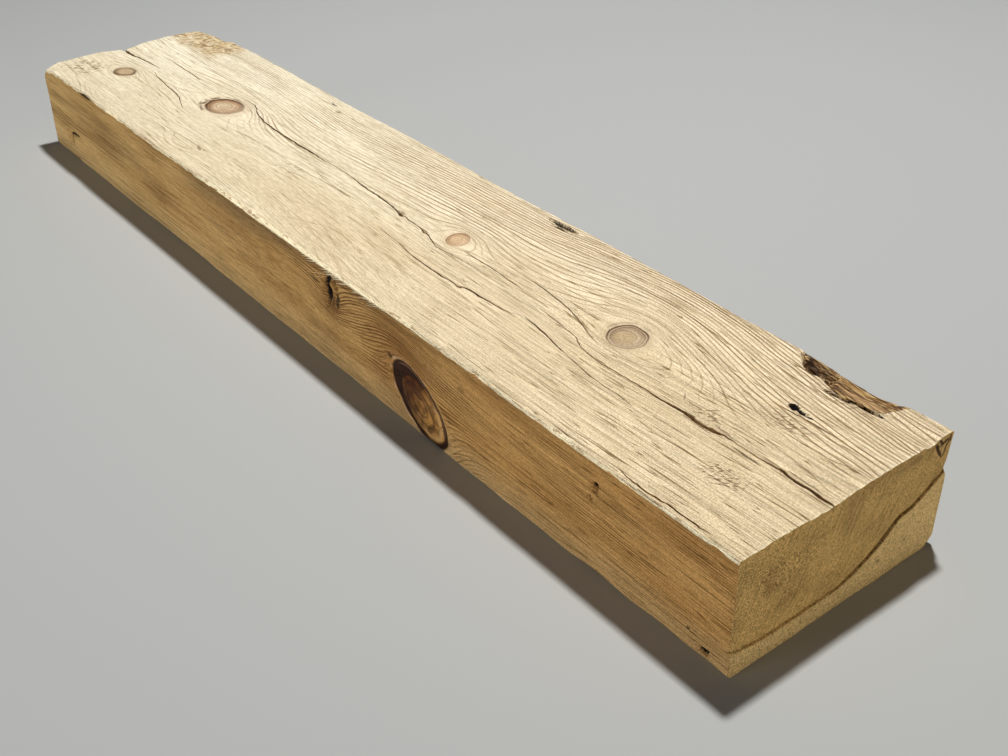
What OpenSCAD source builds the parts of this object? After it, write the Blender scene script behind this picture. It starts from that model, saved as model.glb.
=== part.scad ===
// Sawn timber plank: one heavy piece of old stock with worn arrises, drying checks, a ring shake,
// knots and two patches of rot. X runs along the length, Y across the width and Z up.
// The origin is the middle of the flat underside. The near end is at +X and the front side at -Y.

/* [Stock] */
// Length of the timber
length = 1550; // [1450:10:2400]
// Width of the timber
width = 292; // [260:1:360]
// Thickness of the timber
thickness = 140; // [110:1:200]

/* [Sawn ends] */
// How far the top of the far end leans back from its foot
far_rake = 18; // [0:1:30]
// Wear on the upright front corner of the far end
far_corner_wear = 9; // [0:1:14]

/* [Arrises] */
// Width of the worn band along the front top arris
front_wear = 7; // [4:0.5:12]
// Depth of the worn band along the front top arris
front_drop = 5; // [3:0.5:9]
// Width and depth of the wear along the back top arris
back_wear = 3; // [2:0.5:8]
// Chamfer along the two bottom arrises
foot_chamfer = 3; // [2:0.5:8]
// Chamfer where the near front foot has been knocked off
foot_knock = 13; // [6:0.5:20]
// Length along the timber of that knocked foot
foot_knock_l = 60; // [30:1:120]

/* [Worn top] */
// Depth of the shallow valley that follows the main check
valley_depth = 4; // [1:0.5:8]
// Half width of that valley
valley_w = 34; // [20:1:50]
// Height of the long waves in the worn top
wave_h = 1.6; // [0:0.1:3]
// Length of the long waves in the worn top
wave_l = 430; // [200:10:900]

/* [Checks] */
// Mouth of the main check at the near end
near_check_w = 6; // [2:0.5:9]
// Mouth of the main check along the middle
middle_check_w = 2.6; // [1.5:0.1:5]
// Mouth of the check at the far end
far_check_w = 5; // [2:0.5:8]
// Mouth of the lesser checks
side_check_w = 1.8; // [1.2:0.1:4]
// Depth of a check for each millimetre of its mouth
check_slope = 4; // [2:0.5:6]

/* [Ring shake] */
// Widest opening of the shake across the near end
shake_w = 4; // [1.5:0.5:8]
// Depth of the shake into the near end
shake_depth = 45; // [15:1:90]

/* [Rot] */
// Depth of the rot pocket in the back arris at its inner wall
pocket_depth = 18; // [12:1:30]
// Rise of the pocket floor towards the back side, in degrees
pocket_rise = 14; // [0:1:18]
// Depth of the slot in the pocket's inner wall
slot_depth = 34; // [20:1:60]
// Width of the slot in the pocket's inner wall
slot_w = 5; // [3:0.5:8]
// Width of the soft corner rotted off the far back arris
rot_corner_w = 16; // [6:1:24]
// Depth of the soft corner rotted off the far back arris
rot_corner_depth = 11; // [4:1:20]
// Length of the soft corner rotted off the far back arris
rot_corner_l = 90; // [40:1:140]

/* [Knots] */
// Length of the large knot in the front side
big_knot_l = 114; // [80:1:130]
// Width of the large knot in the front side
big_knot_w = 58; // [44:1:70]
// Height of the large knot's middle above the underside
big_knot_z = 44; // [40:1:60]
// Distance of the large knot's middle from the near end
big_knot_x = 479; // [420:1:560]
// Tilt of the large knot's length below the grain, in degrees
big_knot_tilt = 34; // [0:1:60]
// Depth to which the large knot's face has weathered back
big_knot_dish = 1.5; // [0.5:0.1:4]
// Width of the ring that has shrunk open round a knot
knot_ring_w = 2.4; // [1.5:0.1:5]
// Depth of the ring that has shrunk open round a knot
knot_ring_depth = 3; // [1.5:0.1:6]
// Height of the slit knot in the front side
slit_knot_l = 38; // [20:1:60]
// Width of the slit knot in the front side
slit_knot_w = 13; // [6:1:20]
// Depth of the slit knot in the front side
slit_knot_depth = 14; // [5:1:30]

/* [Hidden] */

near_x = length / 2;
far_x = -length / 2;
front_y = -width / 2;
back_y = width / 2;

// Rings of points along the length that carry the sawn faces
station_count = 52;
// Length over which the lean of the far end fades out
rake_fade = 130;
// Length over which the wear on the far corner fades out
corner_fade = 28;
// How far a cutter reaches past the face that it opens
reach = 4;

// Line of the main check: [distance from the near end, offset from the centre line]
lane = [
    [0, -27], [67, -23], [181, -25], [305, -31], [324, -29], [361, -17], [418, -10],
    [554, -9], [623, -13], [665, -1], [780, 9], [871, 15], [1054, 15], [1134, 25], [1170, 39],
    [1201, 37], [1400, -2], [1476, -7], [1550, -10]
];

// Checks: [distance from the near end, offset from the centre line, share of the full mouth]
near_check = [
    [-reach, -27, 1], [47, -25, 0.8], [91, -24, 0.7], [134, -24, 0.6], [220, -28, 0.45],
    [305, -31, 0.4], [324, -29, 0.35], [361, -17, 0.3], [418, -10, 0.1]
];
middle_check = [
    [554, -9, 0.2], [623, -13, 0.7], [665, -1, 1], [723, 4, 1], [780, 9, 0.8], [871, 15, 0.7],
    [990, 14, 0.9], [1099, 18, 0.9], [1134, 25, 0.8], [1170, 39, 0.5], [1201, 37, 0.2]
];
branch_check = [[328, -10, 0.3], [361, -1, 0.9], [380, 6, 1], [408, 13, 0.9], [492, 21, 0.3]];
front_check_a = [[419, -46, 0.4], [484, -47, 1], [524, -53, 1], [587, -52, 0.8], [699, -42, 0.3]];
front_check_b = [[239, -57, 0.4], [286, -56, 1], [343, -48, 0.9], [385, -40, 0.8], [432, -34, 0.3]];
// The far checks are measured from the far end
far_check = [[-reach, -10, 1], [56, -10, 0.8], [101, -4, 0.4], [150, -2, 0.2]];
far_check_b = [[98, 24, 0.3], [138, 26, 1], [209, 24, 0.8], [263, 23, 0.3]];
far_check_c = [[153, -17, 0.3], [224, -30, 0.9], [286, -38, 0.9], [312, -48, 0.8], [332, -55, 0.3]];

// Ring shake on the near end: [offset from the centre line, height, share of the full opening]
shake = [
    [-width / 2 - reach, 33, 0.12], [-96, 23, 0.3], [-25, 22, 0.35], [18, 28, 0.6], [46, 43, 1],
    [80, 65, 0.9], [108, 73, 0.4], [width / 2 + reach, 94, 0.4]
];

// Plan of the rot pocket: [distance from the near end, distance in from the back side]
pocket = [
    [176, -2 * reach], [179, 15], [160, 24], [132, 28], [123, 37], [94, 41], [64, 37], [55, 28],
    [50, -2 * reach]
];
// Distance of the pocket's inner wall from the back side
pocket_back = 41;
// Middle of the slot from the near end, and its length
slot_x = 77;
slot_l = 34;

// Small pits on the top: [distance from the near end, inset from the back side, length, width, depth]
pits = [[559, 12, 50, 15, 9], [114, 89, 24, 8, 12], [161, 13, 44, 16, 24], [1087, 17, 16, 6, 5]];

// Knots in the top: [distance from the near end, offset from the centre line, length, width]
top_knots = [[321, 22, 48, 46], [618, 16, 30, 34], [1190, -1, 62, 60], [1427, -54, 44, 38]];

// Place of the slit knot: distance from the near end and depth below the top
slit_knot_x = 652;
slit_knot_drop = 29;
// Lean of the slit knot from the upright, in degrees
slit_knot_lean = 6;

// Points of the two worn arrises, as shares of their width in from the side and depth from the top
front_arris = [[0, 1.5], [0.35, 0.5]];
back_arris = [[0.3, 0.6], [0, 1.3]];
// Width of the top beside each arris that has rows of points of its own
arris_blend = 30;
// Lengths of the swells in the worn front band, and how much they change it
swell_long = 310;
swell_short = 118;
swell_share = 0.28;
// Length over which the rotted corner runs out
rot_run_out = 15;

function lane_y(x) = lookup(near_x - x, lane);
function fade(x, span) = max(0, 1 - (x - far_x) / span);

// Surface of the worn top
function top_z(x, y) =
    let (valley = valley_depth * exp(-pow((y - lane_y(x)) / valley_w, 2)))
    let (wave = wave_h * (1 - cos(360 * x / wave_l + 1.2 * y)) / 2)
    thickness - valley - wave;

// The worn front band swells and shrinks along the timber
function front_share(x) = 1 + swell_share * (sin(360 * x / swell_long) + sin(360 * x / swell_short));

// The back arris is worn away to the rotted corner towards the far end
function back_step(x, worn, rotted) =
    let (from_far = x - far_x)
    lookup(from_far, [[0, rotted], [rot_corner_l - rot_run_out, rotted], [rot_corner_l, worn]]);

// The near front foot has lost its corner
function foot_front(x) = lookup(near_x - x, [[0, foot_knock], [foot_knock_l, foot_chamfer]]);

// Outline of the timber across its width at one place, clockwise from the front foot
function section(x) =
    let (y0 = front_y + far_corner_wear * pow(fade(x, corner_fade), 2), foot = foot_front(x))
    let (band = front_wear * front_share(x), drop = front_drop * front_share(x))
    let (back_w = back_step(x, back_wear, rot_corner_w))
    let (back_d = back_step(x, back_wear, rot_corner_depth))
    let (y1 = y0 + band, y2 = back_y - back_w, mid = lane_y(x))
    let (valley = [for (k = [-1.3, -0.6, 0, 0.6, 1.3]) mid + k * valley_w])
    concat(
        [[y0 + foot, 0], [y0, foot / 2]],
        [for (p = front_arris) [y0 + p[0] * band, thickness - p[1] * drop]],
        [for (y = concat([y1, y1 + arris_blend], valley, [y2 - arris_blend, y2])) [y, top_z(x, y)]],
        [for (p = back_arris) [back_y - p[0] * back_w, thickness - p[1] * back_d]],
        [[back_y, foot_chamfer / 2], [back_y - foot_chamfer, 0]]
    );

// The far end leans, so its rings shift with height
function ring(x) = [for (p = section(x)) [x + far_rake * p[1] / thickness * fade(x, rake_fade), p[0], p[1]]];

// Triangles that close a tube of equal rings
function tube_faces(rings, sides) = concat(
    [[for (j = [sides - 1 : -1 : 0]) j]],
    [for (i = [0 : rings - 2], j = [0 : sides - 1])
        let (a = i * sides + j, b = i * sides + (j + 1) % sides)
        each [[a, b, b + sides], [a, b + sides, a + sides]]],
    [[for (j = [0 : sides - 1]) (rings - 1) * sides + j]]
);

module tube(rings) {
    sides = len(rings[0]);
    polyhedron(points = [for (r = rings) each r], faces = tube_faces(len(rings), sides), convexity = 6);
}

// Sawn and worn timber before it split
module blank() {
    tube([for (i = [0 : station_count]) ring(far_x + length * i / station_count)]);
}

// One ring of a check: two lips above the top and a root below it
function check_ring(x, y, mouth) =
    let (depth = mouth * check_slope, lip = mouth / 2 * (1 + reach / depth))
    let (top = top_z(x, y))
    [[x, y - lip, top + reach], [x, y + lip, top + reach], [x, y, top - depth]];

// A check is a wedge that runs along the top; its points come from far to near
module check(points, mouth) {
    last = len(points) - 1;
    tube([for (i = [last : -1 : 0]) check_ring(near_x - points[i][0], points[i][1], mouth * points[i][2])]);
}

module far_end_check(points, mouth) {
    tube([for (p = points) check_ring(far_x + far_rake + p[0], p[1], mouth * p[2])]);
}

module checks() {
    check(near_check, near_check_w);
    check(middle_check, middle_check_w);
    check(branch_check, side_check_w);
    check(front_check_a, side_check_w);
    check(front_check_b, side_check_w);
    far_end_check(far_check, far_check_w);
    far_end_check(far_check_b, side_check_w);
    far_end_check(far_check_c, side_check_w);
}

// The shake opens across the near end and closes with depth
module ring_shake() {
    out = shake_depth + reach;
    tube([for (p = shake)
        let (lip = shake_w * p[2] / 2 * out / shake_depth)
        [
            [near_x - shake_depth, p[0], p[1]],
            [near_x + reach, p[0], p[1] + lip],
            [near_x + reach, p[0], p[1] - lip]
        ]]);
}

// Broken-out rot in the back arris, with a floor that rises to the back and a slot in its inner wall
module rot_pocket() {
    hinge = [0, back_y - pocket_back, thickness - pocket_depth];
    translate(hinge)
        rotate([pocket_rise, 0, 0])
            linear_extrude(height = pocket_depth + 2 * reach)
                polygon([for (p = pocket) [near_x - p[0], (pocket_back - p[1]) / cos(pocket_rise)]]);
    translate([near_x - slot_x - slot_l / 2, back_y - pocket_back + 2, thickness - slot_depth])
        cube([slot_l, slot_w, slot_depth + reach]);
}

// Pointed pocket: two arcs that meet at its ends
module lens(long, wide, deep) {
    arc_r = (long * long + wide * wide) / (4 * wide);
    linear_extrude(height = deep)
        intersection() {
            translate([0, arc_r - wide / 2])
                circle(r = arc_r, $fn = 90);
            translate([0, wide / 2 - arc_r])
                circle(r = arc_r, $fn = 90);
        }
}

module small_pits() {
    for (p = pits) {
        translate([near_x - p[0], back_y - p[1], thickness - p[4]])
            lens(p[2], p[3], p[4] + reach);
    }
}

function oval(long, wide) = [for (a = [0 : 12 : 348]) [long / 2 * cos(a), wide / 2 * sin(a)]];

// The ring that shrank open round a knot, from its floor up past the face
module knot_ring(long, wide) {
    linear_extrude(height = knot_ring_depth + reach)
        difference() {
            polygon(oval(long, wide));
            polygon(oval(long - 2 * knot_ring_w, wide - 2 * knot_ring_w));
        }
}

module top_knot_rings() {
    for (k = top_knots) {
        x = near_x - k[0];
        translate([x, k[1], top_z(x, k[1]) - knot_ring_depth])
            knot_ring(k[2], k[3]);
    }
}

// Knots in the front side: the large one stands in an open ring, the slit one has rotted out
module front_knots() {
    translate([near_x - big_knot_x, front_y, big_knot_z])
        rotate([90, 0, 0])
            rotate([0, 0, -big_knot_tilt]) {
                translate([0, 0, -knot_ring_depth])
                    knot_ring(big_knot_l, big_knot_w);
                translate([0, 0, -big_knot_dish])
                    linear_extrude(height = big_knot_dish + reach)
                        polygon(oval(big_knot_l, big_knot_w));
            }
    translate([near_x - slit_knot_x, front_y, thickness - slit_knot_drop])
        rotate([90, 0, 0])
            translate([0, 0, -slit_knot_depth])
                rotate([0, 0, 90 + slit_knot_lean])
                    lens(slit_knot_l, slit_knot_w, slit_knot_depth + reach);
}

module plank() {
    color("burlywood")
        difference() {
            blank();
            checks();
            ring_shake();
            rot_pocket();
            small_pits();
            top_knot_rings();
            front_knots();
        }
}

plank();
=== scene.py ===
"""An old sawn timber plank with its drying checks, ring shake, rot, knots and worn edges.

One closed mesh stands for the plank. Its rows follow the checks, and the growth rings bend round
the knots in a field that the wood material draws from. Sizes are millimetres until the mesh is made.
"""
import math
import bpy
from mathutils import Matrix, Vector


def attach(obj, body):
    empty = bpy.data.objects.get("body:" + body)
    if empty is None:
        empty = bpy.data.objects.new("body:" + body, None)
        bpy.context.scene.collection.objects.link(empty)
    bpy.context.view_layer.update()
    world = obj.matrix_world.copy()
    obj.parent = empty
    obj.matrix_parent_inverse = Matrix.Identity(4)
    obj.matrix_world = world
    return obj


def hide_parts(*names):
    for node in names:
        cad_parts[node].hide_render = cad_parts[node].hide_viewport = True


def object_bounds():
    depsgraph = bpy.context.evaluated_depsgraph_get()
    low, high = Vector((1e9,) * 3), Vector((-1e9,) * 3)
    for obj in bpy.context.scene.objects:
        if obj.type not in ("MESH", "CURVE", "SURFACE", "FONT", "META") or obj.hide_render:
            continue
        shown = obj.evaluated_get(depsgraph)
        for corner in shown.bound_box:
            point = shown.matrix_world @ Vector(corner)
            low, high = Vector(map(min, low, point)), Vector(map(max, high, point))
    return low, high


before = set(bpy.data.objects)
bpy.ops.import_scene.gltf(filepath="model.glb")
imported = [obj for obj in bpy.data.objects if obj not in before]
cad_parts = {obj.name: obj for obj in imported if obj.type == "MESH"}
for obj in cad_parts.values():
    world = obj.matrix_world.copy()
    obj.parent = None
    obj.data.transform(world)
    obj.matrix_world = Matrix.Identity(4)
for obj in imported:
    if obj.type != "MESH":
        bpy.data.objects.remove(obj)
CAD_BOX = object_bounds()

from types import SimpleNamespace

import bpy
import numpy as np
from mathutils import Matrix, Vector
from mathutils.geometry import delaunay_2d_cdt

MM = 0.001
CAD_LO, CAD_HI = CAD_BOX
HALF_L = (CAD_HI.x - CAD_LO.x) / 2 / MM
HALF_W = (CAD_HI.y - CAD_LO.y) / 2 / MM
TOP = round((CAD_HI.z - CAD_LO.z) / MM, 3)
SEED = 7

# Camera: eye in metres, direction and roll in degrees, focal length in units of the picture's width
EYE = (1.28941, -0.77683, 0.86353)
AZIMUTH = 52.855
ELEVATION = 33.957
ROLL = -1.394
FOCAL = 1278.0 / 1008.0

# Stations along the plank: (x, spacing)
STATION_STEPS = [(-775, 3.5), (-745, 8.0), (-230, 8.0), (-190, 3.3), (290, 3.1), (330, 4.2), (570, 4.2),
                 (595, 2.6), (735, 2.6), (775, 2.0)]
FRONT_ROWS = 30
TEAR_ROWS = 10
BACK_ROWS = 16
BOTTOM_ROWS = 9
ARRIS_ROWS = 5
FOOT_ROWS = 3

# Lanes along the grain that the checks follow, in order from the front edge to the back one.
# path: (x, y); mouth: (x, opening), closed where the opening is 0
LANES = [
    {"name": "splinter",
     "path": [(-775, -137), (520, -139), (545, -141), (560, -138), (612, -138), (630, -140), (655, -141),
              (690, -139), (722, -140), (735, -138), (775, -137)],
     "mouth": [(524, 0), (530, 0.8), (546, 1.4), (555, 0), (612, 0), (622, 1.2), (650, 2.2), (690, 1.8),
               (722, 1.6), (737, 0)]},
    {"name": "front",
     "path": [(-775, -22), (-622, -17), (-595, -24), (-551, -30), (-516, -34), (-489, -38), (-463, -48),
              (-443, -55), (-400, -50), (-330, -34), (-275, -29), (-215, -27), (-180, -24), (-150, -20),
              (-130, -13), (-100, -19), (-60, -22), (-28, -23), (20, -34), (76, -42), (113, -44),
              (150, -50), (188, -52), (220, -53), (246, -52), (258, -48), (291, -47), (324, -45),
              (336, -42), (345, -35), (366, -37), (390, -40), (413, -45), (432, -48), (460, -52),
              (489, -56), (536, -57), (600, -53), (700, -52), (775, -50)],
     "mouth": [(-626, 0), (-600, 1.5), (-500, 1.7), (-460, 1.2), (-438, 0), (-330, 0), (-290, 1.2),
               (-262, 0.8), (-250, 0), (-238, 0.5), (-205, 0.3), (-190, 0.8), (-176, 0), (-132, 0),
               (-110, 0.9), (-95, 0.3), (-66, 0.3), (-56, 1.6), (-32, 1.5), (-24, 0), (66, 0), (85, 0.9),
               (113, 0.8), (150, 1.5), (200, 2.1), (224, 2.6), (244, 1.4), (258, 2.8), (290, 2.4),
               (326, 1.6), (342, 0.2), (350, 0.2), (362, 2.0), (386, 2.3), (420, 1.5), (437, 0.7),
               (455, 1.5), (482, 1.7), (500, 0.8), (512, 1.3), (535, 1.1), (546, 0), (572, 0), (590, 0.9),
               (606, 0.7), (622, 0)]},
    {"name": "main",
     "path": [(-775, -10), (-719, -10), (-701, -7), (-674, -4), (-625, -2), (-560, 10), (-480, 30),
              (-426, 37), (-395, 39), (-377, 34), (-359, 25), (-324, 18), (-279, 15), (-215, 14),
              (-142, 14), (-96, 15), (-51, 11), (-5, 9), (23, 7), (52, 4), (87, 1), (110, -1), (124, -4),
              (138, -9), (152, -13), (170, -12), (193, -10), (221, -9), (280, -9), (357, -10), (385, -13),
              (414, -17), (432, -25), (451, -29), (470, -31), (498, -29), (555, -28), (594, -25),
              (617, -26), (641, -24), (684, -24), (708, -23), (728, -25), (747, -25), (775, -27)],
     "mouth": [(-775, 5.5), (-740, 5), (-700, 3.4), (-674, 2.4), (-640, 1), (-622, 0), (-432, 0),
               (-415, 1.1), (-380, 1.6), (-340, 2.2), (-300, 2.8), (-250, 3.2), (-200, 3.2), (-175, 2.2),
               (-150, 1.2), (-100, 1.3), (-50, 2.2), (0, 2.6), (23, 2.2), (43, 2.6), (52, 5.5), (62, 1.8),
               (87, 1.4), (104, 1.8), (112, 3.6), (122, 1.8), (152, 1.4), (221, 0.8), (262, 0), (338, 0),
               (357, 0.8), (432, 1.2), (500, 1.4), (540, 1.7), (560, 2.4), (590, 3.4), (620, 4), (640, 2.6),
               (655, 1.2), (680, 1.2), (700, 2.2), (728, 3.4), (750, 3.8), (766, 3.4), (775, 1.4)]},
    {"name": "middle",
     "path": [(-775, 8), (-660, 9), (-560, 18), (-480, 36), (-400, 46), (-340, 32), (-280, 24), (0, 18),
              (100, 8), (152, -2), (185, 5), (250, 4), (311, 0), (380, -4), (432, -16), (470, -20),
              (560, -12), (650, -5), (775, -5)],
     "mouth": [(-775, 0), (-745, 0.7), (-700, 0.7), (-660, 0), (178, 0), (200, 1.4), (250, 1.3),
               (285, 1.1), (318, 0)]},
    {"name": "upper",
     "path": [(-775, 22), (-677, 24), (-637, 26), (-601, 25), (-566, 24), (-539, 22), (-512, 26), (-470, 44),
              (-420, 54), (-380, 52), (-330, 38), (-200, 30), (0, 26), (110, 34), (157, 40), (220, 34),
              (283, 21), (320, 19), (367, 13), (395, 6), (414, -1), (433, -7), (447, -10), (480, -8),
              (540, 4), (600, 10), (660, 20), (735, 22), (755, 27), (775, 28)],
     "mouth": [(-684, 0), (-660, 1.1), (-601, 1.6), (-540, 1.4), (-506, 0), (276, 0), (300, 1.3), (367, 1.4),
               (400, 1.3), (452, 0), (672, 0), (690, 0.7), (735, 0.8), (756, 0.6), (775, 0.8)]},
    {"name": "groove",
     "path": [(-775, 51), (-715, 51), (-560, 60), (-420, 72), (-300, 62), (0, 55), (157, 62), (300, 58),
              (454, 58), (600, 51), (775, 51)],
     "mouth": [(-775, 0.5), (-735, 0.9), (-708, 0), (630, 0), (645, 1.2), (690, 1.5), (712, 0.6), (722, 0)]},
]
MAIN_CHECK = LANES[2]
# Plain rows before, between and behind the lanes
GAP_ROWS = [4, 36, 12, 5, 7, 13, 20]
BACK_BAND = 46.0
BACK_BAND_ROWS = 29
CHECK_SLOPE = 4.0
# Rows across a check: place in its mouth, share of its depth, darkness of the painted shade in it
CHECK_ROWS = [(-0.5, 0.0, 0.06), (-0.27, 0.45, 0.4), (0.0, 1.0, 0.52), (0.27, 0.45, 0.42), (0.5, 0.0, 0.2)]
CLOSED_W = 0.6
CORNER_ROUND = 0.15

# Worn edges: (x, set in from the side) and (x, drop below the top)
FRONT_INSET = [(-775, 4), (-750, 1.4), (-625, 1.2), (-620, 3), (-577, 2.6), (-571, 1.2), (-522, 1.2),
               (-514, 3.2), (-480, 3.4), (-470, 1.2), (-205, 1.2), (-198, 4), (-152, 4.4), (-144, 4.4),
               (-60, 5), (200, 6), (270, 4.6), (310, 1.6), (396, 1.2), (402, 4.5), (426, 4), (434, 1.2),
               (526, 1.2), (531, 4.5), (556, 4), (561, 1.2), (775, 1.2)]
FRONT_DROP = [(-775, 10), (-752, 5), (-735, 3.5), (-625, 3.5), (-620, 5.5), (-577, 5), (-571, 3.5),
              (-200, 3.5), (-150, 2.8), (0, 2.2), (60, 1.7), (250, 1.7), (310, 2.6), (396, 3.4), (402, 6),
              (426, 6), (434, 3.2), (775, 3)]
BACK_INSET = [(-775, 17), (-750, 15), (-674, 13), (-664, 3), (-640, 2), (-526, 2), (-520, 5), (-512, 2),
              (775, 2)]
BACK_DROP = [(-775, 13), (-750, 10), (-674, 9), (-664, 3), (-640, 2), (-526, 2), (-520, 6), (-512, 2),
             (775, 2)]
# Lower edges: (x, size of the corner) and (x, lift of the front one)
FOOT_FRONT = [(-775, 4), (-400, 2.6), (560, 2.6), (600, 4.5), (640, 2.6), (690, 4.5), (720, 4), (775, 6)]
FOOT_BACK = [(-775, 3), (690, 3), (760, 9), (775, 12)]
FOOT_LIFT = [(-775, 0), (-420, 0), (-380, 1.6), (-230, 1.6), (-190, 0), (560, 0), (590, 2), (625, 1.6),
             (650, 0), (680, 1.6), (705, 1.2), (720, 0), (775, 0)]
# Notch at the near end of the back side
NOTCH_DEPTH = 3.5
NOTCH_Z = 96.0

# Small breaks along the edges: the spread of their pitch and size
WORN_PITCH = (12.0, 46.0)
WORN_SIZE = (0.2, 2.0)
# Fibres that leave the front face through its top edge and tear there: (x, height of the tears),
# their pitch along the edge, their run for each millimetre of height, and the height that gets rows
TEAR_HEIGHT = [(-775, 0.8), (-120, 1.0), (20, 2.0), (80, 8), (120, 14), (150, 20), (215, 19), (250, 9),
               (290, 3), (330, 1.6), (390, 1.0), (400, 4), (430, 4), (440, 1.0), (775, 1.0)]
TEAR_PITCH = 9.0
TEAR_RUN = 2.8
TEAR_REACH = 20.0
# Reach of the light wood below the edge through one tear, as a share of its height
TEAR_LINE = [(0.0, 0.03), (0.2, 0.16), (0.5, 0.8), (0.62, 0.6), (0.85, 0.14), (1.0, 0.03)]
# Height of the light rim along the edge
RIM = 3.0

# Far end: (y, x of the top edge); the foot stands at the end of the stock
FAR_EDGE = [(-146, -766), (-128, -764), (-103, -761), (-68, -764), (-41, -764), (-16, -759), (-9, -754),
            (8, -757), (40, -759), (106, -759), (128, -752), (146, -745)]
FAR_FADE = 70.0

# Worn top
VALLEY_DEPTH = 4.0
VALLEY_W = 34.0
WAVE_H = 1.2
WAVE_L = 430.0
DROP_REACH = 80.0

# Rot pocket on the back edge: (x, y of the inner rim) and (x, drop of the back edge)
POCKET_RIM = [(500, 600), (588, 175), (593, 137), (599, 131), (612, 121), (622, 116), (640, 119),
              (648, 112), (656, 108), (668, 106), (690, 109.5), (711, 115), (716, 121), (722, 134),
              (728, 150), (734, 175), (800, 600)]
POCKET_EDGE = [(596, 0), (613, 0), (626, 2), (640, 4.5), (660, 6.5), (684, 8.5), (702, 6.5), (714, 4),
               (724, 0), (731, 0)]
POCKET_FLOOR = 4.0
CAVE_DEPTH = 22.0

# Hollows in the top: x, y, half length, half width, depth, turn in degrees
TOP_PITS = [(697, 111, 18, 2.0, 14, 3), (668, 105.5, 16, 1.6, 7, 2), (653, 59.3, 5, 3.4, 6, 0),
            (664, 58, 9, 2.0, 4, -6), (214, 134.5, 24, 2.8, 9, 0), (217, 128, 12, 1.6, 5, 0),
            (-312, 129, 8, 3, 4, 0), (-281, 117, 6, 2.5, 2, 0), (-680, 110, 24, 2, 3, -4),
            (-620, 112, 20, 1.6, 2, 0), (-725, 77, 11, 2, 2, 0), (52, 4, 7, 3.2, 4, -8),
            (110, -1, 5, 2.4, 4, -10), (251, -52, 6, 2.2, 2.5, 0), (612, -26, 22, 2.6, 3, 0)]

# Knots: face, centre (x, y or x, z), half length and width, turn in degrees, the fall, stretch and rise
# of the grain round them, and colours: body, pale parts, heart and rim, with the side where it is dark
KNOTS = [
    {"face": "top", "at": (-650, -55), "half": (19, 16), "turn": 0, "fall": 2.0, "stretch": 1.7, "rise": 8,
     "tint": (184, 154, 116), "pale": (214, 190, 152), "heart": (204, 176, 138),
     "rim": (84, 54, 28), "rim_share": 1.0, "rim_width": 0.2,
     "dark": (0.2, -0.2), "outer": 0.0},
    {"face": "top", "at": (-413, -1), "half": (31, 26), "turn": 0, "fall": 2.0, "stretch": 1.7, "rise": 15,
     "tint": (196, 154, 112), "pale": (234, 208, 172), "heart": (228, 200, 164),
     "rim": (86, 50, 26), "rim_share": 1.0, "rim_width": 0.18,
     "dark": (-0.6, 0.1), "outer": 0.9},
    {"face": "top", "at": (157, 16), "half": (15, 14), "turn": 0, "fall": 2.0, "stretch": 1.7, "rise": 7,
     "tint": (206, 170, 130), "pale": (226, 196, 156), "heart": (220, 186, 144),
     "rim": (126, 86, 54), "rim_share": 0.85, "rim_width": 0.12,
     "dark": (-0.9, 0.4), "outer": 0.0},
    {"face": "top", "at": (454, 22), "half": (23, 21), "turn": 0, "fall": 1.8, "stretch": 1.8, "rise": 14,
     "tint": (176, 150, 120), "pale": (220, 196, 160), "heart": (196, 168, 122),
     "rim": (92, 66, 42), "rim_share": 0.95, "rim_width": 0.08,
     "dark": (-0.7, 0.7), "outer": 0.3},
]
BARK_KNOT = {"face": "front", "at": (298, 41), "half": (58, 33), "turn": -35,
             "fall": 1.5, "stretch": 1.15, "rise": 9, "rim": (56, 31, 16)}
SLIT_KNOT = {"face": "front", "at": (122, 108), "half": (15, 19), "turn": 0,
             "fall": 2.0, "stretch": 1.6, "rise": 4}
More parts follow.
